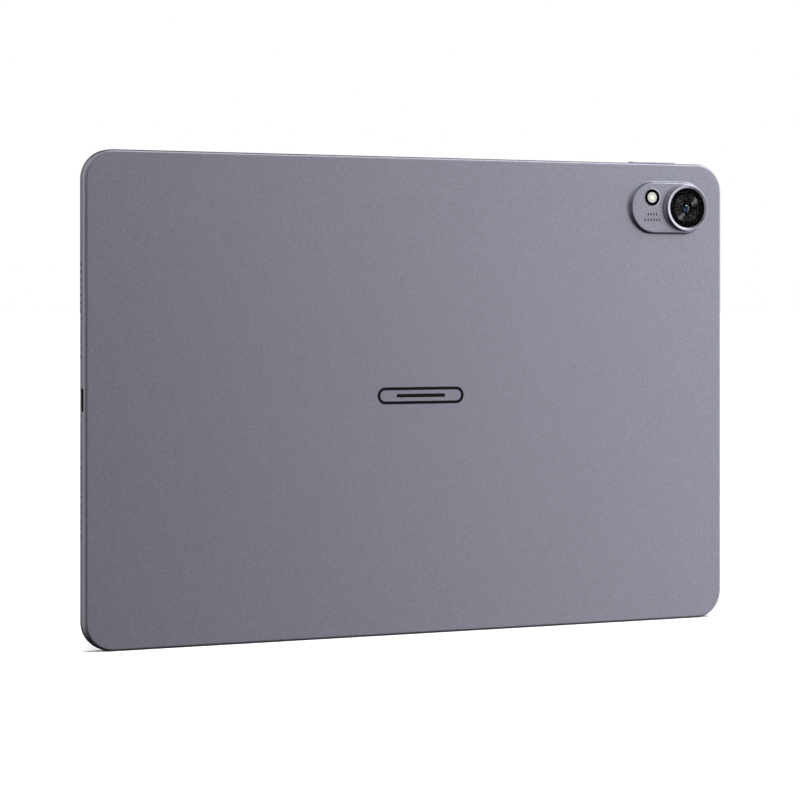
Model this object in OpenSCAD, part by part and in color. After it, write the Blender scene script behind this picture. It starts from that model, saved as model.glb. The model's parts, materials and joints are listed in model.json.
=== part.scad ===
// Tablet computer of the 11.5 inch class, standing on its long bottom edge with the screen towards -Y.
// Every sub-part is drawn in a working frame where the tablet lies on its back: x to the right, y to the
// top edge, z out of the screen, with z = 0 at half the body's thickness. stand() then stands it up.

/* [Body] */
// Length of the long edges
body_w = 261; // [250:0.5:270]
// Length of the short edges
body_h = 177.3; // [170:0.1:185]
// Thickness from the rear plane to the face of the glass
body_t = 6.2; // [6.2:0.1:6.8]
// Radius of the corners in plan
corner_r = 10.5; // [10:0.5:12]
// Thickness of the cover's rear wall
rear_wall = 0.7; // [0.6:0.05:0.8]
// Thickness of the cover's side walls
side_wall = 1.6; // [1.5:0.05:1.7]
// How far the rounding between side and rear reaches in over the rear
rear_round_in = 1; // [0.8:0.1:1.2]
// How far that rounding reaches along the side
rear_round_deep = 1.1; // [0.9:0.05:1.3]

/* [Screen] */
// Thickness of the cover glass
glass_t = 0.6; // [0.5:0.05:0.6]
// Gap from the body's outline to the edge of the glass
glass_inset = 1.52; // [1.5:0.01:1.6]
// Width of the lit area
active_w = 244.4; // [240:0.1:244.4]
// Height of the lit area
active_h = 160; // [158:0.1:160]

/* [Camera] */
// Distance of the lens axis from the middle of the body, towards the side with the power key
lens_x = 113.15; // [113:0.05:114]
// Height of the lens axis above the middle of the body
lens_y = 71.4; // [69:0.1:72]
// Radius of the raised island's round ends
island_r = 10.5; // [10.3:0.1:10.6]
// Distance between the centres of the island's round ends
island_reach = 14.05; // [13.5:0.05:15]
// Height of the island above the rear plane
island_rise = 1.55; // [1.4:0.05:1.6]
// Height of the lens ring above the island
ring_rise = 1.85; // [1.7:0.05:1.9]
// Radius of the ring where it meets the island
ring_r = 9.35; // [9.25:0.05:9.5]
// Radius of the lens window
window_r = 8; // [7.8:0.05:8.05]
// Travel of the lens barrel when it focuses
focus_travel = 0.2; // [0.15:0.05:0.3]

/* [Keys] */
// Length of the volume rocker
volume_len = 20.3; // [18:0.1:21]
// Distance of the volume rocker's middle from the middle of the body
volume_x = 100.7; // [98:0.1:101]
// Length of the power key
power_len = 12.4; // [11:0.1:13]
// Height of the power key's middle above the middle of the body
power_y = 65.5; // [64:0.1:66]
// Width of both keys across the edge of the body
key_width = 2.3; // [2:0.1:2.4]
// How far the keys stand proud of the edge
key_proud = 0.5; // [0.4:0.05:0.6]

/* [Ports and sound] */
// Diameter of one speaker hole
hole_d = 1.3; // [1.1:0.05:1.3]
// Distance between neighbouring speaker holes
hole_pitch = 2.74; // [2.6:0.01:2.8]
// Number of holes in one speaker's row
hole_count = 13; // [9:1:13]
// Distance of each row's middle from the middle of the short edge
row_middle = 31.6; // [31:0.1:32]
// Width of the port's slot in the cover
port_slot_w = 8.6; // [8.4:0.1:9]
// Height of the port's slot in the cover
port_slot_h = 2.8; // [2.7:0.1:3]

/* [Hidden] */

$fn = 64;
eps = 0.01;         // overshoot of a cut past a face
fit = 0.02;         // clearance between neighbours that are bonded or laid in place
arc_steps = 10;     // straight steps in a quarter of a drawn rounding
fillet_steps = 6;   // straight steps in a hollow fillet

// Heights along z, from the rear plane to the glass
z_rear = -body_t / 2;
z_front = body_t / 2;
z_floor = z_rear + rear_wall;
z_rim = z_front - 0.2;
z_glass = z_front - glass_t;
z_tape = z_glass - 0.15;
z_ledge = z_tape - 0.2;
z_lcd = z_glass - 0.6;
z_light = z_lcd - 0.9;
z_tray = z_light - 0.2;

// Insets from the body's outline
rim_inset = 1.1;
ledge_inset = 4;
front_round_in = 0.35;      // flat curve of the side wall towards the screen
front_round_deep = 0.9;
emblem_deep = 0.12;

// Display stack in plan
tray_w = active_w + 1.2;
tray_h = active_h + 1.6;
tray_lip = 0.25;

// Rear camera
z_island = z_rear - island_rise;
z_ring = z_island - ring_rise;
island_seat = 0.2;          // depth of the island's seat in the cover
ring_stem_r = 8.95;
ring_bore_r = 6.6;
z_foot_of_stem = z_floor - 0.05;
window_t = 0.2;
island_lean = 0.85;         // how far the island's side leans in between its foot and its top
island_fillet = 0.3;        // hollow fillet at the island's foot
ring_lean = 0.25;           // the same two for the lens ring
ring_fillet = 0.25;
ring_round = 0.35;          // rounding between the ring's side and its crest
top_chamfer = 0.06;         // broken edge at the top of the island's side
z_window = z_ring + 0.25;   // outer face of the window, just below the ring's crest
z_mask = z_window + window_t;
mask_t = 0.05;
mask_bore_r = 5.6;
cone_eye_r = 2.5;
flash_x = -98.43;
flash_y = 75.28;
flash_r = 3.2;
flash_lens_r = 2.05;
flash_chamfer = 0.15;
flash_lens_t = 1.2;
bar_len = 1.15;
bar_width = 0.58;
bar_deep = 0.05;
module_side = 8.6;
z_module = -4.05;           // face of the actuator's housing
z_module_back = 0.2;
barrel_r = 3.2;
cone_drop = 0.15;           // depth of the funnel from its rim to its eye
cone_t = 0.1;
window_clear = 0.05;        // left between the window and the barrel at full travel
z_barrel = z_mask + window_clear + focus_travel;    // front end of the barrel at rest
z_shoulder = z_mask + cone_drop + cone_t + window_clear + focus_travel;
nose_r = 2.35;
nose_slope = 0.35;          // width and depth of the slope inside the nose
shoulder_r = 2.85;
barrel_bore_r = 1.75;
lens_bow = 15;              // twice the radius of the front element's dome
lens_back = 1.3;            // depth of the front element's flat side below the barrel's end
barrel_back = 1.7;          // depth of the barrel's rear end below the housing's face
barrel_recess = 2.2;
light_path_r = 2.4;
sensor_cover_t = 0.3;
bracket_side = 10.2;
bracket_t = 0.6;

// Keys
key_gap = 0.15;
flange_t = 0.7;
flange_out = 1.2;           // how far the flange reaches past the cap's ends
foot_len = 0.4;
foot_r = 0.6;
cap_round = 0.2;            // rounding at the cap's outer edge
flange_drop = 0.3;          // space above the flange that the rocking needs
switch_gap = 0.3;           // travel left above a switch at rest
switch_pitch = 14;          // distance between the rocker's two switches
wall_in_y = body_h / 2 - side_wall;
wall_in_x = body_w / 2 - side_wall;

// Port
shell_w = 8.94;
shell_h = 3.16;
shell_t = 0.3;
shell_len = 6.6;
slot_lip = 0.7;             // thickness of the cover left in front of the shell
port_clear = 0.1;
tongue_len = 4.6;
shell_back_t = 0.5;         // wall at the shell's inner end
tongue_w = 6.69;
tongue_t = 0.7;

// Speakers
hole_z = 1.35;
speaker_len = 36;
speaker_deep = 17.5;
snout_deep = 5.2;
mesh_t = 0.12;

// Boards and battery
board_t = 0.8;
z_board = -1.7;
mainboard_w = 31;
mainboard_h = 154;
mainboard_x = -88.5;
usb_board_w = 16;
usb_board_h = 20;
usb_board_x = 113.2;
cell_w = 76;
cell_h = 140;
cell_t = 2.85;
cell_y = -4;
cell_gap = 2;
cells_x = 11;
tape_t = 0.1;
boss_r = 1.5;
ribbon_t = 0.15;
screw_clear = 0.12;         // round a screw in a board or an ear
screw_bite = 0.25;          // gap left below a screw's foot
screw_r = 0.48;
screw_head_r = 1.15;
screw_head_t = 0.45;
board_screws = concat(
    [for (y = [-70, -11, 65]) for (dx = [-12.5, 12.5]) [mainboard_x + dx, y]],
    [for (dy = [-7, 7]) [usb_board_x - 5.5, dy]]
);
speaker_ear = 3.2;
ear_z = 0.9;                // height of the speaker's ears above the cover's inner face
ear_t = 0.6;
ears_x = 114;
speaker_screws = [
    for (sx = [-1, 1]) for (sy = [-1, 1]) for (e = [-1, 1])
        [sx * ears_x, sy * row_middle + e * (speaker_len / 2 + speaker_ear / 2)]
];

// ---------------------------------------------------------------- helpers

// From the working frame to the standing frame.
module stand() {
    translate([0, 0, body_h / 2]) rotate([90, 0, 0]) children();
}

module rounded_rect(w, h, r) {
    square([w - 2 * r, h], center = true);
    square([w, h - 2 * r], center = true);
    for (sx = [-1, 1], sy = [-1, 1]) translate([sx * (w / 2 - r), sy * (h / 2 - r)]) circle(r);
}

// Stadium with its long axis along x.
module stadium(length, width) {
    square([length - width, width], center = true);
    for (s = [-1, 1]) translate([s * (length - width) / 2, 0]) circle(width / 2);
}

// Plate with rounded corners between two heights.
module plate(w, h, r, z0, z1) {
    translate([0, 0, z0]) linear_extrude(z1 - z0) rounded_rect(w, h, r);
}

// Box from its lowest to its highest corner.
module block(low, high) {
    translate(low) cube(high - low);
}

// Quarter of an ellipse from a flat face to an upright wall, as [inset, z] points.
function quarter(inset, deep, z, up) = [
    for (i = [0:arc_steps])
        let (a = 90 * i / arc_steps)
            up > 0
                ? [inset * (1 - sin(a)), z + deep * (1 - cos(a))]
                : [inset * (1 - cos(a)), z - deep * (1 - sin(a))]
];

// Side of a raised part as [inset, z] points: a leaning wall from the top down to a hollow fillet.
function leaning_side(lean, fillet, z_top, z_foot) = concat(
    [[lean, z_top]],
    [
        for (i = [0:fillet_steps])
            let (a = 90 * i / fillet_steps) [fillet * cos(a), z_foot - fillet * (1 - sin(a))]
    ]
);

function half_section(span, profile) = [for (p = profile) [span - p[0], p[1]]];
function reversed(list) = [for (i = [len(list) - 1:-1:0]) list[i]];
function full_section(span, profile) = concat(
    half_section(span / 2, profile),
    [for (p = reversed(half_section(span / 2, profile))) [-p[0], p[1]]]
);

// Slab with rounded corners whose edge follows a profile of [inset, z] points all the way round.
module edge_slab(w, h, r, profile) {
    first_z = profile[0][1];
    last_z = profile[len(profile) - 1][1];
    for (q = [0:3]) {
        sx = (q == 0 || q == 3) ? 1 : -1;
        sy = q < 2 ? 1 : -1;
        translate([sx * (w / 2 - r), sy * (h / 2 - r), 0]) rotate([0, 0, 90 * q])
            rotate_extrude(angle = 90, $fn = 96)
                polygon(concat([[0, first_z]], half_section(r, profile), [[0, last_z]]));
    }
    translate([-(w / 2 - r), 0, 0]) rotate([90, 0, 90])
        linear_extrude(w - 2 * r) polygon(full_section(h, profile));
    for (s = [0, 180]) rotate([0, 0, s])
        translate([0, h / 2 - r, 0]) rotate([90, 0, 0]) linear_extrude(h - 2 * r)
            polygon(concat([[w / 2 - r, first_z]], half_section(w / 2, profile), [[w / 2 - r, last_z]]));
}

// Revolved or extruded pill whose edge follows a profile, long axis along x.
module pill_slab(reach, r, profile) {
    first_z = profile[0][1];
    last_z = profile[len(profile) - 1][1];
    for (s = [-1, 1]) translate([s * reach / 2, 0, 0])
        rotate([0, 0, s * 90 - 180]) rotate_extrude(angle = 180, $fn = 96)
            polygon(concat([[0, first_z]], half_section(r, profile), [[0, last_z]]));
    translate([-reach / 2, 0, 0]) rotate([90, 0, 90])
        linear_extrude(reach) polygon(full_section(2 * r, profile));
}

module ring(r_out, r_in, z0, z1) {
    difference() {
        translate([0, 0, z0]) cylinder(r = r_out, h = z1 - z0);
        translate([0, 0, z0 - eps]) cylinder(r = r_in, h = z1 - z0 + 2 * eps);
    }
}

module at_lens() {
    translate([-lens_x, lens_y, 0]) children();
}

module at_island() {
    translate([-lens_x + island_reach / 2, lens_y, 0]) children();
}

module at_flash() {
    translate([flash_x, flash_y, 0]) children();
}

// Turns a drawing so that its z points out of the top edge and its x runs along that edge.
module on_top_edge(x) {
    translate([x, body_h / 2, 0]) rotate([-90, 0, 0]) children();
}

// The same for the short edge with the power key: z out of the edge, x along it.
module on_key_edge(y) {
    translate([-body_w / 2, y, 0]) rotate([0, -90, 0]) rotate([0, 0, 90]) children();
}

// The same for the short edge with the port.
module on_port_edge(y) {
    translate([body_w / 2, y, 0]) rotate([0, 90, 0]) rotate([0, 0, 90]) children();
}

module boss(z1) {
    translate([0, 0, z_floor - eps]) difference() {
        cylinder(r = boss_r, h = z1 - z_floor + eps, $fn = 32);
        translate([0, 0, 0.2]) cylinder(r = screw_r + fit, h = z1 - z_floor, $fn = 32);
    }
}

// ---------------------------------------------------------------- enclosure

body_profile = concat(
    quarter(rear_round_in, rear_round_deep, z_rear, 1),
    quarter(front_round_in, front_round_deep, z_rim, -1)
);

// Row of speaker holes through a side wall, drawn with z out of the edge.
module speaker_holes() {
    for (i = [0:hole_count - 1])
        translate([(i - (hole_count - 1) / 2) * hole_pitch, 0, -side_wall - 1])
            cylinder(d = hole_d, h = side_wall + 2, $fn = 24);
}

// Slot for a key or a port with a small lead-in, drawn with z out of the edge.
module edge_slot(length, width, lead) {
    translate([0, 0, -side_wall - 1]) linear_extrude(side_wall + 2) stadium(length, width);
    for (s = [-1, 1]) translate([s * (length - width) / 2, 0, -lead])
        cylinder(r1 = width / 2, r2 = width / 2 + lead + eps, h = lead + eps);
    rotate([90, 0, 90]) translate([0, 0, -(length - width) / 2]) linear_extrude(length - width)
        polygon([
            [-width / 2, -lead], [width / 2, -lead],
            [width / 2 + lead + eps, eps], [-width / 2 - lead - eps, eps]
        ]);
}

module rear_cover() color([0.36, 0.36, 0.41]) stand() {
    difference() {
        edge_slab(body_w, body_h, corner_r, body_profile);
        plate(body_w - 2 * side_wall, body_h - 2 * side_wall, corner_r - side_wall, z_floor, z_front);
        plate(body_w - 2 * rim_inset, body_h - 2 * rim_inset, corner_r - rim_inset, z_ledge, z_front);
        // island's seat, lens ring's hole and the flash's hole
        at_island() translate([0, 0, z_rear - 1]) linear_extrude(1 + island_seat)
            stadium(island_reach + 2 * island_r, 2 * island_r);
        at_lens() translate([0, 0, z_rear - 1]) cylinder(r = ring_stem_r + fit, h = 3);
        at_flash() translate([0, 0, z_rear - 1]) cylinder(r = flash_r + fit, h = 3);
        // emblem's inlay
        translate([0, 0, z_rear - 1]) linear_extrude(1 + emblem_deep) emblem_outline(fit);
        // key slots
        on_top_edge(-volume_x) edge_slot(volume_len + 2 * key_gap, key_width + 2 * key_gap, 0.12);
        on_key_edge(power_y) edge_slot(power_len + 2 * key_gap, key_width + 2 * key_gap, 0.12);
        // speaker holes in both short edges, microphone holes in the top edge
        for (s = [-1, 1]) {
            on_port_edge(s * row_middle) translate([0, hole_z, 0]) speaker_holes();
            on_key_edge(s * row_middle) translate([0, -hole_z, 0]) speaker_holes();
            on_top_edge(s * 60) translate([0, 0, -side_wall - 1]) cylinder(d = 0.9, h = 4, $fn = 24);
        }
        // port's slot, and the pocket that the shell's mouth sits in
        on_port_edge(0) {
            edge_slot(port_slot_w, port_slot_h, 0.25);
            translate([0, 0, -side_wall - 1]) linear_extrude(side_wall + 1 - slot_lip)
                stadium(shell_w + 2 * port_clear, shell_h + 2 * port_clear);
        }
    }
    for (p = board_screws) translate(p) boss(z_board);
    for (p = speaker_screws) translate(p) boss(z_floor + ear_z);
    // ribs that locate the battery
    for (x = [cells_x - cell_w - cell_gap / 2 - 1.2, cells_x + cell_w + cell_gap / 2 + 0.6])
        block([x, cell_y - cell_h / 2, z_floor - eps], [x + 0.6, cell_y + cell_h / 2, z_floor + 1.4]);
    block(
        [cells_x - 0.4, cell_y - cell_h / 2, z_floor - eps],
        [cells_x + 0.4, cell_y + cell_h / 2, z_floor + 1.4]
    );
}

// A plain capsule outline with a bar inside it.
module emblem_outline(grow) {
    difference() {
        stadium(35.4 + 2 * grow, 6.3 + 2 * grow);
        stadium(33.2 - 2 * grow, 4.1 - 2 * grow);
    }
    stadium(20 + 2 * grow, 1.3 + 2 * grow);
}

module emblem() color([0.1, 0.1, 0.1]) stand()
    translate([0, 0, z_rear - 0.03]) linear_extrude(emblem_deep + 0.03) emblem_outline(0);

module display_frame() color([0.05, 0.05, 0.055]) stand() {
    inset = rim_inset + fit;
    difference() {
        plate(body_w - 2 * inset, body_h - 2 * inset, corner_r - inset, z_ledge, z_rim);
        plate(body_w - 2 * glass_inset, body_h - 2 * glass_inset, corner_r - glass_inset, z_tape, z_front);
        plate(
            body_w - 2 * ledge_inset, body_h - 2 * ledge_inset, corner_r - ledge_inset, z_ledge - 1, z_front
        );
    }
}

module display_tape() color([0.02, 0.02, 0.02]) stand() {
    inset = glass_inset + 0.2;
    difference() {
        plate(body_w - 2 * inset, body_h - 2 * inset, corner_r - inset, z_tape, z_glass);
        plate(
            body_w - 2 * ledge_inset, body_h - 2 * ledge_inset, corner_r - ledge_inset, z_tape - 1, z_front
        );
    }
}

module display_glass() color([0.02, 0.02, 0.025]) stand() {
    inset = glass_inset + fit;
    edge_slab(
        body_w - 2 * inset, body_h - 2 * inset, corner_r - inset,
        concat([[0, z_glass]], quarter(0.35, 0.3, z_front, -1))
    );
}

module lcd_panel() color([0.04, 0.045, 0.06]) stand() plate(tray_w, tray_h, 0.8, z_lcd, z_glass);

module backlight_unit() color([0.9, 0.9, 0.92]) stand()
    plate(tray_w - 2 * tray_lip, tray_h - 2 * tray_lip, 0.6, z_light, z_lcd);

module backlight_tray() color([0.62, 0.63, 0.65]) stand() difference() {
    plate(tray_w, tray_h, 0.8, z_tray, z_lcd);
    plate(tray_w - 2 * tray_lip, tray_h - 2 * tray_lip, 0.6, z_light, z_front);
}

// Ribbon that leaves the panel at the key side, turns round the tray and lies on the mainboard.
module display_flex() color([0.55, 0.33, 0.12]) stand() {
    half_w = 7;
    x_bend = -tray_w / 2 - 0.9;
    x_end = mainboard_x - 10;
    z_low = z_tray - 0.2 - ribbon_t;
    z_high = z_lcd + 0.1 + ribbon_t;
    block([x_bend, -half_w, z_high - ribbon_t], [-tray_w / 2, half_w, z_high]);
    block([x_bend - ribbon_t, -half_w, z_low], [x_bend, half_w, z_high]);
    block([x_bend - ribbon_t, -half_w, z_low], [x_end, half_w, z_low + ribbon_t]);
    block([x_end - 4, 1 - half_w, z_board + board_t], [x_end, half_w - 1, z_low]);
}

// ---------------------------------------------------------------- rear camera and flash

island_profile = concat(
    [[island_lean + top_chamfer, z_island]],
    leaning_side(island_lean, island_fillet, z_island + top_chamfer, z_rear),
    [[0, z_rear + island_seat]]
);

// Two short rows of upright bars where a label would be, as [count, height above the lens axis, pitch].
module bar_rows() {
    for (row = [[4, -2.6, 1.24], [6, -4.8, 1.3]])
        for (i = [0:row[0] - 1])
            translate([(i - (row[0] - 1) / 2) * row[2], row[1]])
                rotate([0, 0, 90]) stadium(bar_len, bar_width, $fn = 16);
}

module camera_island() color([0.37, 0.37, 0.42]) stand() difference() {
    at_island() pill_slab(island_reach, island_r - fit, island_profile);
    at_lens() translate([0, 0, z_island - 1]) cylinder(r = ring_stem_r + fit, h = 4);
    at_flash() {
        translate([0, 0, z_island - 1]) cylinder(r = flash_r + fit, h = 4);
        translate([0, 0, z_island - eps])
            cylinder(r1 = flash_r + flash_chamfer, r2 = flash_r, h = flash_chamfer);
    }
    translate([flash_x, lens_y, z_island - 1]) linear_extrude(1 + bar_deep) bar_rows();
}

ring_profile = concat(
    reversed(half_section(ring_r, leaning_side(ring_lean, ring_fillet, z_ring + ring_round, z_island))),
    [for (i = [arc_steps - 1:-1:0]) let (p = quarter(ring_round, ring_round, z_ring, 1)[i])
        [ring_r - ring_lean - p[0], p[1]]]
);

module lens_ring() color([0.4, 0.4, 0.46]) stand() at_lens() rotate_extrude($fn = 128) polygon(concat(
    [[ring_stem_r, z_foot_of_stem], [ring_stem_r, z_island]],
    ring_profile,
    [
        [window_r + 0.15, z_window - 0.05], [window_r + fit, z_window + 0.05],
        [window_r + fit, z_mask + mask_t], [ring_bore_r, z_mask + mask_t], [ring_bore_r, z_foot_of_stem]
    ]
));

module lens_glass() color([0.05, 0.05, 0.06]) stand() at_lens() rotate_extrude($fn = 128) polygon([
    [0, z_mask], [window_r, z_mask], [window_r, z_window + 0.08], [window_r - 0.08, z_window], [0, z_window]
]);

module lens_mask() color([0.01, 0.01, 0.01]) stand() at_lens()
    ring(window_r - 0.05, mask_bore_r, z_mask, z_mask + mask_t);

// Funnel between the window and the lens, with a flange that the ring's bore holds.
module lens_cone() color([0.08, 0.08, 0.08]) stand() at_lens() rotate_extrude($fn = 128) polygon([
    [ring_bore_r - fit, z_mask + mask_t], [mask_bore_r, z_mask + mask_t], [cone_eye_r, z_mask + cone_drop],
    [cone_eye_r, z_mask + cone_drop + cone_t], [ring_bore_r - fit, z_mask + cone_drop + cone_t]
]);

module camera_module() color([0.12, 0.12, 0.13]) stand() at_lens() difference() {
    block(
        [-module_side / 2, -module_side / 2, z_module], [module_side / 2, module_side / 2, z_module_back]
    );
    translate([0, 0, z_module - eps]) cylinder(r = barrel_r + 0.1, h = barrel_recess);
    translate([0, 0, z_module]) cylinder(r = light_path_r, h = z_module_back - z_module - sensor_cover_t);
}

module lens_barrel() color([0.03, 0.03, 0.03]) stand() at_lens() rotate_extrude($fn = 96) polygon([
    [barrel_bore_r, z_barrel + nose_slope], [barrel_bore_r + nose_slope, z_barrel], [nose_r, z_barrel],
    [nose_r, z_shoulder], [shoulder_r, z_shoulder], [shoulder_r, z_module - 0.1],
    [barrel_r, z_module - 0.1], [barrel_r, z_module + barrel_back],
    [barrel_bore_r, z_module + barrel_back]
]);

module front_lens() color([0.2, 0.25, 0.4]) stand() at_lens() rotate_extrude($fn = 96) polygon(concat(
    [for (i = [0:8]) let (r = (barrel_bore_r - fit) * i / 8) [r, z_barrel + nose_slope + r * r / lens_bow]],
    [[barrel_bore_r - fit, z_barrel + lens_back], [0, z_barrel + lens_back]]
));

module camera_sensor_board() color([0.05, 0.25, 0.12]) stand() at_lens()
    block(
        [-module_side / 2, -module_side / 2, z_module_back], [module_side / 2, module_side / 2, z_tray - 0.2]
    );

// Steel frame round the module, open on the side where the ribbon leaves.
module camera_bracket() color([0.7, 0.7, 0.72]) stand() at_lens() difference() {
    plate(bracket_side, bracket_side, 0.3, z_floor, z_module_back);
    plate(bracket_side - 2 * bracket_t, bracket_side - 2 * bracket_t, 0.1, z_floor - 1, z_module_back + 1);
}

module camera_flex() color([0.55, 0.33, 0.12]) stand() at_lens() {
    x_end = 16.5;
    z_low = z_module_back + 0.1;
    block([module_side / 2, -2.5, z_low], [x_end, 2.5, z_low + ribbon_t]);
    block([x_end - 4, -2.2, z_board + board_t], [x_end, 2.2, z_low]);
}

module flash_ring() color([0.01, 0.01, 0.01]) stand() at_flash()
    ring(flash_r, flash_lens_r + fit, z_island + 0.12, z_floor);

module flash_lens() color([0.95, 0.93, 0.82]) stand() at_flash() rotate_extrude($fn = 64) polygon([
    [0, z_island + 0.1], [1.5, z_island + 0.13], [flash_lens_r, z_island + 0.25],
    [flash_lens_r, z_island + flash_lens_t], [0, z_island + flash_lens_t]
]);

module flash_led() color([0.98, 0.85, 0.3]) stand() at_flash()
    block([-0.9, -0.9, z_floor - 0.5], [0.9, 0.9, z_floor]);

module flash_board() color([0.05, 0.25, 0.12]) stand() at_flash()
    block([-3.2, -4, z_floor], [3.2, 4, z_floor + 0.3]);

module front_camera() color([0.04, 0.04, 0.05]) stand() translate([0, 83.2, 0]) {
    block([-2.4, -2.4, -0.9], [2.4, 2.4, 1.6]);
    difference() {
        translate([0, 0, 1.6]) cylinder(r = 1.4, h = z_glass - 1.6 - fit);
        translate([0, 0, 1.9]) cylinder(r1 = 0.6, r2 = 1.2, h = 1);
    }
}

module light_sensor() color([0.1, 0.1, 0.12]) stand()
    block([8, 82.5, 1.7], [10.4, 83.9, z_glass - fit]);

// ---------------------------------------------------------------- keys

// Key drawn with z out of the edge: a cap with a rounded outer edge, a flange behind the wall, and feet.
module key(length, feet) {
    cap_r = key_width / 2;
    z_flange = -side_wall - flange_drop;
    for (s = [-1, 1]) translate([s * (length / 2 - cap_r), 0, 0]) rotate_extrude($fn = 48) polygon([
        [0, z_flange], [cap_r, z_flange], [cap_r, key_proud - cap_round],
        [cap_r - 0.3 * cap_round, key_proud - 0.4 * cap_round], [cap_r - cap_round, key_proud], [0, key_proud]
    ]);
    rotate([90, 0, 90]) translate([0, 0, -(length / 2 - cap_r)]) linear_extrude(length - 2 * cap_r)
        polygon([
            [-cap_r, z_flange], [cap_r, z_flange], [cap_r, key_proud - cap_round],
            [cap_r - 0.3 * cap_round, key_proud - 0.4 * cap_round], [cap_r - cap_round, key_proud],
            [cap_round - cap_r, key_proud], [0.3 * cap_round - cap_r, key_proud - 0.4 * cap_round],
            [-cap_r, key_proud - cap_round]
        ]);
    translate([0, 0, z_flange - flange_t / 2])
        cube([length + 2 * flange_out, key_width + 0.8, flange_t], center = true);
    for (x = feet) translate([x, 0, z_flange - flange_t - foot_len])
        cylinder(r = foot_r, h = foot_len + 0.1, $fn = 32);
}

// Depth below the edge at which a switch's nub ends.
nub_depth = side_wall + flange_drop + flange_t + foot_len + switch_gap;
switch_t = 0.9;

module volume_key() color([0.38, 0.38, 0.43]) stand() on_top_edge(-volume_x)
    key(volume_len, [-switch_pitch / 2, switch_pitch / 2]);

module power_key() color([0.38, 0.38, 0.43]) stand() on_key_edge(power_y) key(power_len, [0]);

// Tact switch drawn with z towards the key.
module tact_switch() {
    translate([0, 0, -nub_depth - switch_t / 2 - 0.15]) cube([3, 2.2, switch_t - 0.3], center = true);
    translate([0, 0, -nub_depth - 0.35]) cylinder(r = 0.7, h = 0.35, $fn = 32);
}

module tact_switches() color([0.75, 0.74, 0.7]) stand() {
    on_top_edge(-volume_x) for (s = [-1, 1]) translate([s * switch_pitch / 2, 0, 0]) tact_switch();
    on_key_edge(power_y) tact_switch();
}

module switch_board(length) {
    translate([0, 0, -nub_depth - switch_t - 0.15]) cube([length, 3, 0.3], center = true);
}

module volume_switch_board() color([0.55, 0.33, 0.12]) stand() on_top_edge(-volume_x) switch_board(22);

module power_switch_board() color([0.55, 0.33, 0.12]) stand() on_key_edge(power_y) switch_board(9);

// ---------------------------------------------------------------- sound

// Speaker enclosure in the port side's upper place: snout at the wall, body under the display, two ears.
module speaker_box() {
    x1 = wall_in_x - mesh_t;
    x0 = x1 - snout_deep;
    difference() {
        union() {
            block([x0, -speaker_len / 2, z_floor + 0.1], [x1, speaker_len / 2, z_ledge - 0.05]);
            block([x0 - speaker_deep, -speaker_len / 2, z_floor + 0.1], [x0, speaker_len / 2, z_tray - 0.25]);
            for (e = [-1, 1]) translate([ears_x, e * (speaker_len / 2 + speaker_ear / 2), z_floor + ear_z])
                linear_extrude(ear_t) square([4.4, speaker_ear + 0.2], center = true);
        }
        // mouth behind the holes, and the pocket for the driver
        block([x1 - 2.5, 1 - speaker_len / 2, hole_z - 0.7], [x1 + eps, speaker_len / 2 - 1, z_ledge + 1]);
        block([x0 - 13.5, -8.5, z_floor + 0.9], [x0 - 1.5, 8.5, z_tray]);
        block([x0 - 1.5 - eps, -3, z_floor + 1.2], [x1 - 1, 3, z_tray - 0.8]);
        block([x1 - 2, -3, z_floor + 1.2], [x1 - 1, 3, hole_z]);
        for (e = [-1, 1]) translate([ears_x, e * (speaker_len / 2 + speaker_ear / 2), z_floor])
            cylinder(r = screw_r + screw_clear, h = 3, $fn = 24);
    }
}

// Driver with a racetrack diaphragm, seated in the enclosure's pocket.
module speaker_driver() {
    x = wall_in_x - mesh_t - snout_deep - 7.5;
    difference() {
        block([x - 5.9, -8.4, z_floor + 0.9], [x + 5.9, 8.4, z_tray - 0.3]);
        translate([x, 0, z_tray - 0.7]) rotate([0, 0, 90]) linear_extrude(1) stadium(14.5, 9.5);
    }
    translate([x, 0, z_tray - 0.7 - eps]) rotate([0, 0, 90]) linear_extrude(0.25) stadium(11, 6);
}

module speaker_mesh() {
    block(
        [wall_in_x - mesh_t, 0.6 - speaker_len / 2, hole_z - 0.8],
        [wall_in_x, speaker_len / 2 - 0.6, z_ledge - fit]
    );
}

// Puts a drawing from the port side's upper place at one of the four places.
module at_speaker(side, level) {
    translate([0, level * row_middle, 0]) mirror([side < 0 ? 1 : 0, 0, 0]) children();
}

module speaker_boxes(side, level) color([0.08, 0.08, 0.085]) stand() at_speaker(side, level) speaker_box();
module speaker_drivers(side, level) color([0.6, 0.6, 0.6]) stand() at_speaker(side, level) speaker_driver();
module speaker_meshes(side, level) color([0.03, 0.03, 0.03]) stand() at_speaker(side, level) speaker_mesh();

module microphone(side) color([0.8, 0.75, 0.55]) stand()
    block([side * 60 - 1.8, wall_in_y - 1, -1.3], [side * 60 + 1.8, wall_in_y, 1.3]);

// ---------------------------------------------------------------- port

module usb_shell() color([0.75, 0.75, 0.77]) stand() on_port_edge(0) difference() {
    translate([0, 0, -slot_lip - shell_len]) linear_extrude(shell_len) stadium(shell_w, shell_h);
    translate([0, 0, -slot_lip - shell_len + shell_back_t]) linear_extrude(shell_len)
        stadium(shell_w - 2 * shell_t, shell_h - 2 * shell_t);
}

module usb_tongue() color([0.04, 0.04, 0.04]) stand() on_port_edge(0) {
    translate([-tongue_w / 2, -tongue_t / 2, -slot_lip - shell_len + shell_back_t])
        cube([tongue_w, tongue_t, tongue_len]);
    translate([0, 0, -slot_lip - shell_len + shell_back_t]) linear_extrude(1)
        stadium(shell_w - 2 * shell_t - 2 * fit, shell_h - 2 * shell_t - 2 * fit);
}

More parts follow.
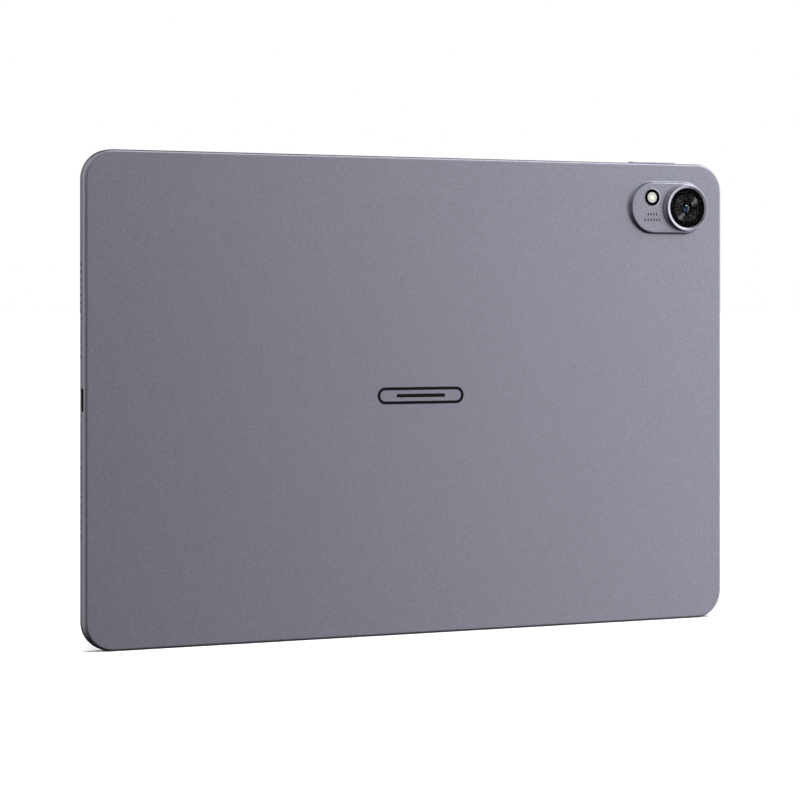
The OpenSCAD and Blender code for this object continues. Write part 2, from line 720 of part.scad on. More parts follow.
module usb_board() color([0.05, 0.25, 0.12]) stand() difference() {
    block(
        [usb_board_x - usb_board_w / 2, -usb_board_h / 2, z_board],
        [usb_board_x + usb_board_w / 2, usb_board_h / 2, z_board + board_t]
    );
    for (p = board_screws) translate([p[0], p[1], z_board - 1])
        cylinder(r = screw_r + screw_clear, h = 3, $fn = 24);
}

// Ribbon from the port's board, up past the right cell and along the top to the mainboard.
module usb_flex() color([0.55, 0.33, 0.12]) stand() {
    z0 = z_floor + 0.1;
    z1 = z0 + ribbon_t;
    z_top = z_board + board_t + ribbon_t;
    half_w = 3;
    x_near = mainboard_x + mainboard_w / 2 + 1;
    x_far = 98;
    y_low = 74;
    y_high = y_low + 2 * half_w;
    x_bend = x_far - 2 * half_w;
    block([x_bend + 2, -half_w, z_board + board_t], [109.2, half_w, z_top]);
    block([x_bend, -half_w, z0], [x_bend + 2, half_w, z_top]);
    block([x_bend, -half_w, z0], [x_far, y_high, z1]);
    block([x_near, y_low, z0], [x_far, y_high, z1]);
    block([x_near, y_low, z0], [x_near + ribbon_t, y_high, z_top]);
    block([x_near - 6, y_low, z_board + board_t], [x_near + ribbon_t, y_high, z_top]);
}

// ---------------------------------------------------------------- battery

module cell(side) {
    x = cells_x + side * (cell_w / 2 + cell_gap / 2);
    translate([x, cell_y, z_floor + tape_t]) linear_extrude(cell_t) rounded_rect(cell_w, cell_h, 2);
}

module battery_cell_left() color([0.16, 0.16, 0.17]) stand() cell(-1);

module battery_cell_right() color([0.16, 0.16, 0.17]) stand() cell(1);

module battery_board() color([0.05, 0.25, 0.12]) stand()
    block([cells_x - 62, cell_y + cell_h / 2 + 0.5, -1.4], [cells_x + 40, cell_y + cell_h / 2 + 4.5, -0.6]);

module battery_tapes() color([0.9, 0.9, 0.9]) stand() for (side = [-1, 1]) for (s = [-1, 1])
    translate([cells_x + side * (cell_w / 2 + cell_gap / 2) + s * 22, cell_y, z_floor])
        linear_extrude(tape_t) square([14, cell_h - 16], center = true);

// ---------------------------------------------------------------- mainboard

module mainboard() color([0.05, 0.25, 0.12]) stand() difference() {
    translate([mainboard_x, 0, z_board]) linear_extrude(board_t)
        rounded_rect(mainboard_w, mainboard_h, 1.5);
    for (p = board_screws) translate([p[0], p[1], z_board - 1])
        cylinder(r = screw_r + screw_clear, h = 3, $fn = 24);
}

// Processor, memory, storage and power chips, then the connectors.
module board_chips() color([0.08, 0.08, 0.09]) stand() {
    z0 = z_board + board_t;
    for (c = [[0, 32, 14, 14], [0, 50, 12, 10], [-2, 15, 11.5, 9], [1, -22, 9, 9], [-3, -42, 7, 7]])
        translate([mainboard_x + c[0], c[1], z0 + 0.4]) cube([c[2], c[3], 0.8], center = true);
    translate([mainboard_x + 11, -58, z0 + 0.35]) cube([6, 3, 0.7], center = true);
}

module can(w, h) {
    difference() {
        linear_extrude(1.2) rounded_rect(w, h, 1);
        translate([0, 0, -0.15]) linear_extrude(1.2) rounded_rect(w - 0.3, h - 0.3, 0.85);
    }
}

module shield_cans() color([0.72, 0.72, 0.74]) stand() {
    z0 = z_board + board_t;
    translate([mainboard_x, 34, z0]) can(22, 52);
    translate([mainboard_x, -31, z0]) can(22, 34);
}

module thermal_sheet() color([0.1, 0.1, 0.1]) stand()
    translate([mainboard_x, 34, z_board + board_t + 1.2]) linear_extrude(0.1) rounded_rect(21, 44, 1);

// Antenna on a plastic carrier in the border above the display.
module antenna(x) color([0.1, 0.1, 0.1]) stand() {
    block([x - 12, 82.2, -2], [x + 12, 86.4, 0.8]);
    block([x - 11, 82.6, 0.8], [x + 11, 86, 0.95]);
}

module screw_with_shank(head_z, foot_z) {
    translate([0, 0, foot_z]) cylinder(r = screw_r, h = head_z - foot_z + 0.05, $fn = 32);
    translate([0, 0, head_z]) difference() {
        cylinder(r = screw_head_r, h = screw_head_t, $fn = 32);
        for (a = [0, 90]) rotate([0, 0, a])
            translate([0, 0, screw_head_t]) cube([1.4, 0.3, 0.4], center = true);
    }
}

module screws() color([0.7, 0.7, 0.72]) stand() {
    for (p = board_screws) translate(p) screw_with_shank(z_board + board_t, z_floor + screw_bite);
    for (p = speaker_screws) translate(p) screw_with_shank(z_floor + ear_z + ear_t, z_floor + screw_bite);
}

// ---------------------------------------------------------------- nodes

rear_cover();
display_frame();
display_tape();
display_glass();
lcd_panel();
backlight_unit();
backlight_tray();
display_flex();
emblem();
camera_island();
lens_ring();
lens_glass();
lens_mask();
lens_cone();
camera_module();
lens_barrel();
front_lens();
camera_sensor_board();
camera_bracket();
camera_flex();
flash_ring();
flash_lens();
flash_led();
flash_board();
front_camera();
light_sensor();
volume_key();
power_key();
volume_switch_board();
power_switch_board();
tact_switches();
speaker_boxes(1, 1);  // speaker_box_port_upper
speaker_boxes(1, -1);  // speaker_box_port_lower
speaker_boxes(-1, 1);  // speaker_box_key_upper
speaker_boxes(-1, -1);  // speaker_box_key_lower
speaker_drivers(1, 1);  // speaker_driver_port_upper
speaker_drivers(1, -1);  // speaker_driver_port_lower
speaker_drivers(-1, 1);  // speaker_driver_key_upper
speaker_drivers(-1, -1);  // speaker_driver_key_lower
speaker_meshes(1, 1);  // speaker_mesh_port_upper
speaker_meshes(1, -1);  // speaker_mesh_port_lower
speaker_meshes(-1, 1);  // speaker_mesh_key_upper
speaker_meshes(-1, -1);  // speaker_mesh_key_lower
microphone(-1);  // microphone_left
microphone(1);  // microphone_right
usb_shell();
usb_tongue();
usb_board();
usb_flex();
battery_cell_left();
battery_cell_right();
battery_board();
battery_tapes();
mainboard();
board_chips();
shield_cans();
thermal_sheet();
antenna(-45);  // antenna_left
antenna(45);  // antenna_right
screws();
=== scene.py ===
import json
import math

import bmesh
import bpy
from mathutils import Matrix, Vector


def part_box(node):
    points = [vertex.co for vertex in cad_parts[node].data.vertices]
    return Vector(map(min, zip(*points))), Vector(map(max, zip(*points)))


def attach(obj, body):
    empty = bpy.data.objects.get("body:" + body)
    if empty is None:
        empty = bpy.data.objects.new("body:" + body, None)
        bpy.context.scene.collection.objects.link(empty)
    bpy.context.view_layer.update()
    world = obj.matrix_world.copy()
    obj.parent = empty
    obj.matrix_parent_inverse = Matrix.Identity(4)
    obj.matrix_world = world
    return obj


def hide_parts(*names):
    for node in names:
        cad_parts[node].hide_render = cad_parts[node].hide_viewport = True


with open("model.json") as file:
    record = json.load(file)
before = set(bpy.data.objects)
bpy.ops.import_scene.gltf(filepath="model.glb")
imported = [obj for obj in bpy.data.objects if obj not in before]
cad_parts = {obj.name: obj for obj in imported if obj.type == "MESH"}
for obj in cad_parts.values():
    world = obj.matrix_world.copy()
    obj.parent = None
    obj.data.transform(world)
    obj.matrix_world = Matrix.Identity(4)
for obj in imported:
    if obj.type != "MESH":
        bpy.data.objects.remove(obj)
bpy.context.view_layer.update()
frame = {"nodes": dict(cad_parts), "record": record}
RECORD = frame["record"]
NODES = frame["nodes"]

MM = 0.001

# ---------------------------------------------------------------- places and sizes

MOUNTS = {m["name"]: Vector(m["pos_m"]) for m in RECORD["mounts"]}
REAR_Y = MOUNTS["rear_face"].y
SCREEN_Y = MOUNTS["screen_face"].y
MIDDLE_Z = MOUNTS["screen_face"].z


def centre(node):
    low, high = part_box(node)
    return (low + high) / 2


def size(node):
    low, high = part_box(node)
    return high - low


LENS = centre("lens_ring")
FLASH = centre("flash_ring")
ISLAND = centre("camera_island")
ISLAND_SIZE = size("camera_island")
ISLAND_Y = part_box("camera_island")[1].y
GLASS_R = size("lens_glass").x / 2
COVER_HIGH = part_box("rear_cover")[1]
STEM_R = 8.95 * MM      # the lens ring's stem, in its hole in the island
FUNNEL_R = 5.6 * MM     # outer rim of the funnel's slope, and the opening in the black print over it
CORNER_R = 10.5 * MM    # the body's corners, seen from the rear

# ---------------------------------------------------------------- camera


def make_camera():
    """Stands behind the tablet, towards the socket's side, level, with the view shifted down a little."""
    data = bpy.data.cameras.new("camera")
    data.sensor_width = 36
    data.lens = 117.92
    data.shift_y = -0.118
    data.clip_start, data.clip_end = 0.05, 100
    camera = bpy.data.objects.new("camera", data)
    bpy.context.scene.collection.objects.link(camera)
    camera.location = (0.4167, REAR_Y + 0.8812, MIDDLE_Z + 0.0334)
    towards = Vector((-0.42025, -0.90741, 0))
    camera.rotation_mode = "QUATERNION"
    camera.rotation_quaternion = towards.to_track_quat("-Z", "Y")
    bpy.context.scene.camera = camera


# ---------------------------------------------------------------- node helpers


class Tree:
    """Short calls for building a node tree."""

    def __init__(self, tree):
        self.tree = tree
        tree.nodes.clear()

    def add(self, kind, **settings):
        node = self.tree.nodes.new(kind)
        for key, value in settings.items():
            setattr(node, key, value)
        return node

    def link(self, a, b):
        self.tree.links.new(a, b)

    def put(self, socket, value):
        """Sets a socket to a value, or links it to an output."""
        if isinstance(value, bpy.types.NodeSocket):
            self.link(value, socket)
        else:
            socket.default_value = value

    def place(self):
        return self.add("ShaderNodeTexCoord").outputs["Object"]

    def maths(self, operation, a, b=0.0):
        node = self.add("ShaderNodeMath", operation=operation)
        self.put(node.inputs[0], a)
        self.put(node.inputs[1], b)
        return node.outputs[0]

    def noise(self, place, scale, detail=2.0, rough=0.5, stretch=(1, 1, 1)):
        if stretch != (1, 1, 1):
            mapping = self.add("ShaderNodeMapping")
            self.link(place, mapping.inputs["Vector"])
            mapping.inputs["Scale"].default_value = stretch
            place = mapping.outputs[0]
        node = self.add("ShaderNodeTexNoise")
        self.link(place, node.inputs["Vector"])
        node.inputs["Scale"].default_value = scale
        node.inputs["Detail"].default_value = detail
        node.inputs["Roughness"].default_value = rough
        return node.outputs["Fac"]

    def spread(self, value, low, high, start=0.3, end=0.7):
        """Maps start..end of a value to low..high, smoothly."""
        node = self.add("ShaderNodeMapRange", interpolation_type="SMOOTHSTEP")
        self.link(value, node.inputs["Value"])
        for name, number in (("From Min", start), ("From Max", end), ("To Min", low), ("To Max", high)):
            node.inputs[name].default_value = number
        return node.outputs["Result"]

    def mix(self, amount, a, b, blend="MIX"):
        node = self.add("ShaderNodeMix", data_type="RGBA", blend_type=blend)
        self.put(node.inputs["Factor"], amount)
        self.put(node.inputs["A"], tint(a) if isinstance(a, tuple) else a)
        self.put(node.inputs["B"], tint(b) if isinstance(b, tuple) else b)
        return node.outputs["Result"]

    def grey(self, value):
        node = self.add("ShaderNodeCombineColor")
        for channel in ("Red", "Green", "Blue"):
            self.link(value, node.inputs[channel])
        return node.outputs[0]

    def radius_about(self, middle):
        """Distance from the axis that runs along Y through middle."""
        x, _, z = self.split(self.place())
        dx = self.maths("SUBTRACT", x, middle.x)
        dz = self.maths("SUBTRACT", z, middle.z)
        squares = self.maths("ADD", self.maths("MULTIPLY", dx, dx), self.maths("MULTIPLY", dz, dz))
        return self.maths("SQRT", squares)

    def bump(self, height, strength, depth):
        node = self.add("ShaderNodeBump")
        node.inputs["Strength"].default_value = strength
        node.inputs["Distance"].default_value = depth
        self.link(height, node.inputs["Height"])
        return node.outputs["Normal"]

    def split(self, vector):
        node = self.add("ShaderNodeSeparateXYZ")
        self.link(vector, node.inputs[0])
        return node.outputs[0], node.outputs[1], node.outputs[2]


def tint(colour):
    return (*colour, 1.0)


def shades(colour, amount):
    """A darker and a lighter version of a colour."""
    dark = tuple(c * (1 - amount) for c in colour)
    light = tuple(min(1.0, c * (1 + amount)) for c in colour)
    return dark, light


def start_material(name, **sockets):
    """One Principled shader, with its sockets set by name."""
    material = bpy.data.materials.new(name)
    material.use_nodes = True
    t = Tree(material.node_tree)
    shader = t.add("ShaderNodeBsdfPrincipled")
    output = t.add("ShaderNodeOutputMaterial")
    t.link(shader.outputs[0], output.inputs["Surface"])
    for key, value in sockets.items():
        shader.inputs[key.replace("_", " ")].default_value = value
    return material, t, shader


# ---------------------------------------------------------------- materials


def anodised(name, colour, roughness, grain=0.05, wear=0.12):
    """Blasted and anodised aluminium: fine sparkling grain, broad cloudiness, painted shade that darkens the
    side walls towards the screen and the faces that look up, and rounded edges that handling has polished a
    little brighter."""
    material, t, shader = start_material(name, Metallic=1.0)
    place = t.place()
    fine = t.noise(place, 4600, 2.0, 0.7)
    broad = t.noise(place, 16, 2.0)
    dark, light = shades(colour, grain)
    base = t.mix(t.spread(fine, 0, 1, 0.3, 0.7), dark, light)
    cloud_dark, cloud_light = shades((0.97, 0.97, 0.97), 0.02)
    base = t.mix(1.0, base, t.mix(broad, cloud_dark, cloud_light), "MULTIPLY")
    normal = t.add("ShaderNodeNewGeometry").outputs["Normal"]
    _, rearward, upward = t.split(normal)
    facing = t.maths("ABSOLUTE", rearward)
    # painted shade: black is mixed into the side walls near the screen and into faces that look up
    on_side = t.spread(facing, 1, 0, 0.2, 0.5)
    to_screen = t.spread(t.split(place)[1], 0.9, 0, SCREEN_Y - 0.6 * MM, SCREEN_Y + 5.2 * MM)
    on_top = t.spread(upward, 0, 0.6, 0.55, 0.85)
    painted_shade = t.maths("MAXIMUM", t.maths("MULTIPLY", on_side, to_screen), on_top)
    base = t.mix(painted_shade, base, (0.0, 0.0, 0.0))
    rounding = t.maths("MULTIPLY", facing, t.maths("SUBTRACT", 1.0, facing))
    edge = t.spread(rounding, 0, 1, 0.08, 0.25)
    rubbed = t.maths("MULTIPLY", edge, t.spread(t.noise(place, 90, 3.0), 0.35, 1.0))
    worn = tuple(min(1.0, c * (1 + wear)) for c in colour)
    t.link(t.mix(rubbed, base, worn), shader.inputs["Base Color"])
    rough = t.spread(fine, roughness - 0.03, roughness + 0.04)
    smoothed = t.maths("MULTIPLY", rubbed, 0.08)
    t.link(t.maths("SUBTRACT", rough, smoothed), shader.inputs["Roughness"])
    t.link(t.bump(fine, 0.25, 0.012 * MM), shader.inputs["Normal"])
    return material


def polished(name, colour, roughness=0.26):
    """Turned and polished metal with faint circular tool marks about the lens axis."""
    material, t, shader = start_material(name, Metallic=1.0, Anisotropic=0.3)
    radius = t.radius_about(LENS)
    marks = t.add("ShaderNodeTexNoise", noise_dimensions="1D")
    t.link(t.maths("MULTIPLY", radius, 30000.0), marks.inputs["W"])
    marks.inputs["Scale"].default_value = 1.0
    marks = marks.outputs["Fac"]
    dark, light = shades(colour, 0.06)
    t.link(t.mix(marks, dark, light), shader.inputs["Base Color"])
    smudges = t.noise(t.place(), 300, 3.0)
    t.link(t.spread(smudges, roughness * 0.9, roughness * 1.15), shader.inputs["Roughness"])
    t.link(t.bump(marks, 0.06, 0.004 * MM), shader.inputs["Normal"])
    tangent = t.add("ShaderNodeTangent", direction_type="RADIAL", axis="Y")
    t.link(tangent.outputs[0], shader.inputs["Tangent"])
    return material


def grained(name, colour, roughness=0.5, metallic=0.0, scale=1500, grain=0.12, depth=0.01, stretch=(1, 1, 1),
            **more):
    """Moulded plastic, foil, steel or paint, by the size, contrast and direction of its grain. The grain's
    depth is in millimetres."""
    material, t, shader = start_material(name, Metallic=metallic, **more)
    place = t.place()
    fine = t.noise(place, scale, 3.0, 0.6, stretch)
    broad = t.noise(place, scale / 40, 2.0)
    dark, light = shades(colour, grain)
    base = t.mix(fine, dark, light)
    t.link(t.mix(t.spread(broad, 0, 0.25), base, dark), shader.inputs["Base Color"])
    t.link(t.spread(broad, roughness * 0.85, min(1, roughness * 1.15)), shader.inputs["Roughness"])
    t.link(t.bump(fine, 0.3, depth * MM), shader.inputs["Normal"])
    return material


def circuit(name, colour):
    """Solder mask over copper tracks: a fine pattern of lines and pads that show lighter through it."""
    material, t, shader = start_material(name, Coat_Weight=0.3, Coat_Roughness=0.25)
    place = t.place()
    tracks = t.add("ShaderNodeTexBrick")
    mapping = t.add("ShaderNodeMapping")
    mapping.inputs["Rotation"].default_value = (math.pi / 2, 0, 0)
    t.link(place, mapping.inputs["Vector"])
    t.link(mapping.outputs[0], tracks.inputs["Vector"])
    tracks.inputs["Scale"].default_value = 420
    tracks.inputs["Mortar Size"].default_value = 0.05
    dark, light = shades(colour, 0.35)
    tracks.inputs["Color1"].default_value = tint(dark)
    tracks.inputs["Color2"].default_value = tint(colour)
    tracks.inputs["Mortar"].default_value = tint(light)
    pads = t.spread(t.noise(place, 900, 1.0), 0, 1, 0.66, 0.7)
    t.link(t.mix(pads, tracks.outputs["Color"], (0.55, 0.42, 0.18)), shader.inputs["Base Color"])
    t.link(t.spread(pads, 0.45, 0.3, 0, 1), shader.inputs["Roughness"])
    t.link(t.bump(tracks.outputs["Fac"], 0.3, 0.02 * MM), shader.inputs["Normal"])
    return material


def ribbon(name, colour):
    """Polyimide film with parallel copper tracks under it."""
    material, t, shader = start_material(name, Coat_Weight=0.4, Coat_Roughness=0.2)
    place = t.place()
    lines = t.add("ShaderNodeTexWave", wave_type="BANDS", bands_direction="Z")
    t.link(place, lines.inputs["Vector"])
    lines.inputs["Scale"].default_value = 500
    lines.inputs["Distortion"].default_value = 0.0
    dark, light = shades(colour, 0.4)
    t.link(t.mix(t.spread(lines.outputs["Fac"], 0, 1, 0.4, 0.6), dark, light), shader.inputs["Base Color"])
    t.link(t.spread(t.noise(place, 200), 0.3, 0.5), shader.inputs["Roughness"])
    return material


def woven_mesh(name):
    """Fine acoustic cloth: crossing threads with dark gaps."""
    material, t, shader = start_material(name, Metallic=0.6)
    place = t.place()
    pitch = 0.16 * MM
    _, y, z = t.split(place)
    across = t.maths("ABSOLUTE", t.maths("SINE", t.maths("MULTIPLY", y, math.pi / pitch)))
    along = t.maths("ABSOLUTE", t.maths("SINE", t.maths("MULTIPLY", z, math.pi / pitch)))
    threads = t.maths("MAXIMUM", across, along)
    gap = t.spread(threads, 1, 0, 0.55, 0.75)
    t.link(t.mix(gap, (0.05, 0.05, 0.055), (0.003, 0.003, 0.003)), shader.inputs["Base Color"])
    t.link(t.spread(threads, 0.8, 0.4, 0.5, 1.0), shader.inputs["Roughness"])
    t.link(t.bump(threads, 0.6, 0.05 * MM), shader.inputs["Normal"])
    return material


def funnel_metal(name):
    """Black spun metal. Its grooves run round the lens, so light fans out across it in narrow wedges."""
    material, t, shader = start_material(name, Metallic=1.0, Anisotropic=0.97)
    radius = t.radius_about(LENS)
    grooves = t.add("ShaderNodeTexNoise", noise_dimensions="1D")
    t.link(t.maths("MULTIPLY", radius, 26000.0), grooves.inputs["W"])
    grooves.inputs["Scale"].default_value = 1.0
    grooves.inputs["Detail"].default_value = 3.0
    grooves = grooves.outputs["Fac"]
    t.link(t.mix(grooves, (0.006, 0.006, 0.006), (0.012, 0.012, 0.012)), shader.inputs["Base Color"])
    t.link(t.spread(grooves, 0.21, 0.27), shader.inputs["Roughness"])
    t.link(t.bump(grooves, 0.05, 0.004 * MM), shader.inputs["Normal"])
    tangent = t.add("ShaderNodeTangent", direction_type="RADIAL", axis="Y")
    t.link(tangent.outputs[0], shader.inputs["Tangent"])
    return material


def clear_glass(name, coating):
    """Coated thin glass. Its weak reflection grows at a glancing angle, and it has faint smears."""
    material = bpy.data.materials.new(name)
    material.use_nodes = True
    t = Tree(material.node_tree)
    through = t.add("ShaderNodeBsdfTransparent")
    shine = t.add("ShaderNodeBsdfGlossy")
    shine.inputs["Color"].default_value = tint((1, 1, 1))
    smears = t.noise(t.place(), 120, 3.0)
    t.link(t.spread(smears, 0.02, 0.06), shine.inputs["Roughness"])
    fresnel = t.add("ShaderNodeFresnel")
    fresnel.inputs["IOR"].default_value = 1.45
    mixer = t.add("ShaderNodeMixShader")
    t.link(t.maths("MULTIPLY", fresnel.outputs[0], coating), mixer.inputs[0])
    t.link(through.outputs[0], mixer.inputs[1])
    t.link(shine.outputs[0], mixer.inputs[2])
    output = t.add("ShaderNodeOutputMaterial")
    t.link(mixer.outputs[0], output.inputs["Surface"])
    return material


def coated_lens(name, reflection):
    """Dark lens element whose coating reflects only one colour of light. That reflecting colour is painted
    near the lower rim as a painted reflection patch; elsewhere the element is nearly black.
    """
    material, t, shader = start_material(name, Metallic=1.0, Roughness=0.05)
    x, _, z = t.split(t.place())
    # painted reflection: the reflecting colour is painted only on a patch towards the lower rim
    along = t.maths("ADD", t.maths("MULTIPLY", t.maths("SUBTRACT", x, LENS.x), 0.6),
                    t.maths("MULTIPLY", t.maths("SUBTRACT", z, LENS.z), -0.8))
    lower = t.spread(along, 0.0, 1.0, 0.1 * MM, 0.75 * MM)
    smears = t.noise(t.place(), 700, 2.0)
    dark, light = shades(reflection, 0.2)
    t.link(t.mix(lower, (0.001, 0.002, 0.004), t.mix(smears, dark, light)), shader.inputs["Base Color"])
    t.link(t.spread(smears, 0.05, 0.09), shader.inputs["Roughness"])
    return material


def lens_film(name):
    """Clear front element. Its coating reflects blue; towards -X its reflection is painted brownish grey and
    stronger, a painted reflection.
    """
    material = bpy.data.materials.new(name)
    material.use_nodes = True
    t = Tree(material.node_tree)
    x, _, _ = t.split(t.place())
    across = t.maths("SUBTRACT", x, LENS.x)
    # painted reflection: the thick mask marks the -X side, where the reflection is painted brownish grey and
    # made up to six times stronger
    thick = t.spread(across, 1, 0, -1.1 * MM, -0.15 * MM)
    through = t.add("ShaderNodeBsdfTransparent")
    shine = t.add("ShaderNodeBsdfGlossy")
    t.link(t.mix(thick, (0.25, 0.6, 1.0), (0.9, 0.78, 0.66)), shine.inputs["Color"])
    smears = t.noise(t.place(), 900, 2.0)
    t.link(t.spread(smears, 0.02, 0.05), shine.inputs["Roughness"])
    fresnel = t.add("ShaderNodeFresnel")
    fresnel.inputs["IOR"].default_value = 1.5
    mixer = t.add("ShaderNodeMixShader")
    t.link(t.maths("MULTIPLY", fresnel.outputs[0], t.spread(thick, 0.25, 1.5, 0, 1)), mixer.inputs[0])
    t.link(through.outputs[0], mixer.inputs[1])
    t.link(shine.outputs[0], mixer.inputs[2])
    output = t.add("ShaderNodeOutputMaterial")
    t.link(mixer.outputs[0], output.inputs["Surface"])
    return material


def diffuser(name):
    """Milky moulded lens with concentric steps, warm in the middle where the lamp's phosphor shows. Part of
    each step is painted darker as painted shade, and the middle has a painted glow though the lamp is off.
    """
    material, t, shader = start_material(
        name, Coat_Weight=0.6, Coat_Roughness=0.08, Subsurface_Weight=0.3, Subsurface_Scale=0.001
    )
    radius = t.radius_about(FLASH)
    warm = t.spread(radius, 1, 0, 0.35 * MM, 1.25 * MM)
    steps = t.maths("SINE", t.maths("MULTIPLY", radius, 2 * math.pi / (0.34 * MM)))
    base = t.mix(warm, (0.7, 0.7, 0.68), (1.0, 0.93, 0.7))
    # painted shade: part of each step is painted darker
    shaded = t.mix(t.spread(steps, 0, 0.35, -0.6, 0.9), base, (0.42, 0.4, 0.34))
    t.link(shaded, shader.inputs["Base Color"])
    # painted glow: the middle gives out warm light of its own, though the flash is off
    t.link(t.mix(t.spread(radius, 1, 0, 0.1 * MM, 1.0 * MM), (0.0, 0.0, 0.0), (1.0, 0.93, 0.72)),
           shader.inputs["Emission Color"])
    shader.inputs["Emission Strength"].default_value = 0.5
    t.link(t.spread(steps, 0.15, 0.35, -1, 1), shader.inputs["Roughness"])
    t.link(t.bump(steps, 0.4, 0.05 * MM), shader.inputs["Normal"])
    return material


def phosphor(name):
    material, t, shader = start_material(name, Roughness=0.7)
    grains = t.noise(t.place(), 9000, 2.0)
    t.link(t.mix(grains, (0.9, 0.62, 0.12), (1.0, 0.85, 0.3)), shader.inputs["Base Color"])
    t.link(t.bump(grains, 0.4, 0.01 * MM), shader.inputs["Normal"])
    return material


def screen_glass(name):
    """Black glass. The lit area is a little greyer and bluer than the printed border round it. Fingers have
    left faint smears."""
    material, t, shader = start_material(name, Metallic=0.0, IOR=1.45)
    place = t.place()
    x, _, z = t.split(place)
    panel = size("lcd_panel")
    border = 0.3 * MM
    half_x, half_z = panel.x / 2 - 0.6 * MM, panel.z / 2 - 0.8 * MM
    side = t.maths("ABSOLUTE", x)
    height = t.maths("ABSOLUTE", t.maths("SUBTRACT", z, MIDDLE_Z))
    in_x = t.spread(side, 1, 0, half_x, half_x + border)
    in_z = t.spread(height, 1, 0, half_z, half_z + border)
    lit = t.maths("MULTIPLY", in_x, in_z)
    t.link(t.mix(lit, (0.0015, 0.0015, 0.0018), (0.009, 0.0095, 0.012)), shader.inputs["Base Color"])
    smears = t.noise(place, 28, 4.0, 0.6, (1, 1, 2.2))
    t.link(t.spread(smears, 0.05, 0.16, 0.35, 0.75), shader.inputs["Roughness"])
    return material


def floor_paint(name):
    material = bpy.data.materials.new(name)
    material.use_nodes = True
    t = Tree(material.node_tree)
    shader = t.add("ShaderNodeBsdfDiffuse")
    clouds = t.noise(t.place(), 3.0, 2.0)
    t.link(t.mix(clouds, (0.94, 0.94, 0.945), (0.96, 0.96, 0.965)), shader.inputs["Color"])
    output = t.add("ShaderNodeOutputMaterial")
    t.link(shader.outputs[0], output.inputs["Surface"])
    return material


# ---------------------------------------------------------------- mesh helpers


def finish_mesh(name, bm, material, body="chassis", sharp=math.radians(32), weighted=True):
    """Turns a bmesh into an object that rides on a body, shaded smooth with its sharp edges kept."""
    bmesh.ops.recalc_face_normals(bm, faces=bm.faces)
    mesh = bpy.data.meshes.new(name)
    bm.to_mesh(mesh)
    bm.free()
    for polygon in mesh.polygons:
        polygon.use_smooth = True
    mesh.set_sharp_from_angle(angle=sharp)
    piece = bpy.data.objects.new(name, mesh)
    bpy.context.scene.collection.objects.link(piece)
    mesh.materials.append(material)
    if weighted:
        modifier = piece.modifiers.new("normals", "WEIGHTED_NORMAL")
        modifier.keep_sharp = True
        modifier.weight = 100
    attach(piece, body)
    return piece


def ring_of(bm, points):
    return [bm.verts.new(p) for p in points]


def bridge(bm, one, other):
    """Faces between two rings of as many points."""
    count = len(one)
    for i in range(count):
        j = (i + 1) % count
        bm.faces.new((one[i], one[j], other[j], other[i]))


def lathe(bm, profile, middle, segments=128, closed=False):
    """Turns (radius, y) points about the +Y axis through middle. A radius of 0 closes the end with a fan."""
    rings = []
    for radius, y in profile:
        if radius < 1e-9:
            rings.append([bm.verts.new((middle.x, y, middle.z))])
            continue
        rings.append(ring_of(bm, [
            (middle.x + radius * math.cos(a), y, middle.z + radius * math.sin(a))
            for a in (2 * math.pi * i / segments for i in range(segments))
        ]))
    pairs = list(zip(rings, rings[1:]))
    if closed:
        pairs.append((rings[-1], rings[0]))
    for one, other in pairs:
        if len(one) == 1 or len(other) == 1:
            tip, rim = (one[0], other) if len(one) == 1 else (other[0], one)
            for i in range(segments):
                bm.faces.new((tip, rim[i], rim[(i + 1) % segments]))
        else:
            bridge(bm, one, other)


def rounding(inset, height, steps=8):
    """A quarter round as (inset, drop) steps from the flat face to the wall."""
    angles = [math.pi / 2 * i / steps for i in range(steps + 1)]
    return [(inset * (1 - math.sin(a)), height * (1 - math.cos(a))) for a in angles]


def hollow_fillet(radius, foot, steps=8):
    """Hollow quarter round at the foot of a wall, as (inset, y) points down to the surface at foot."""
    angles = [math.pi / 2 * i / steps for i in range(steps + 1)]
    return [(radius * math.cos(a), foot + radius * (1 - math.sin(a))) for a in angles]


def leaning_side(lean, fillet, foot, top, edge):
    """Side of a raised part as (inset, y) points: a rounded edge, a leaning wall and a hollow fillet."""
    brow = [(lean + inset, top - drop) for inset, drop in rounding(edge, edge, 6)]
    return brow + hollow_fillet(fillet, foot)


def outline(half_x, half_z, radius, steps=16):
    """Points round a rectangle with round corners, anticlockwise seen with x to the right and z up."""
    points = []
    for quarter, (sx, sz) in enumerate(((1, 1), (-1, 1), (-1, -1), (1, -1))):
        for i in range(steps + 1):
            a = math.pi / 2 * (quarter + i / steps)
            points.append((
                sx * (half_x - radius) + radius * math.cos(a),
                sz * (half_z - radius) + radius * math.sin(a),
            ))
    return points


def stadium_points(half_x, half_z, steps=8):
    return outline(half_x, half_z, half_z, steps)


def slab(bm, half_x, half_z, radius, profile, middle, steps):
    """A flat body with round corners. Its edge follows (inset, y) points all the way round."""
    rings = []
    for inset, y in profile:
        points = outline(half_x - inset, half_z - inset, max(radius - inset, 1e-6), steps)
        rings.append(ring_of(bm, [(middle.x + x, y, middle.z + z) for x, z in points]))
    for one, other in zip(rings, rings[1:]):
        bridge(bm, one, other)
    bm.faces.new(rings[0])
    bm.faces.new(rings[-1])


def prism(bm, points, middle, low, high):
    rings = [ring_of(bm, [(middle[0] + x, y, middle[1] + z) for x, z in points]) for y in (low, high)]
    bridge(bm, *rings)
    bm.faces.new(rings[0])
    bm.faces.new(rings[1])


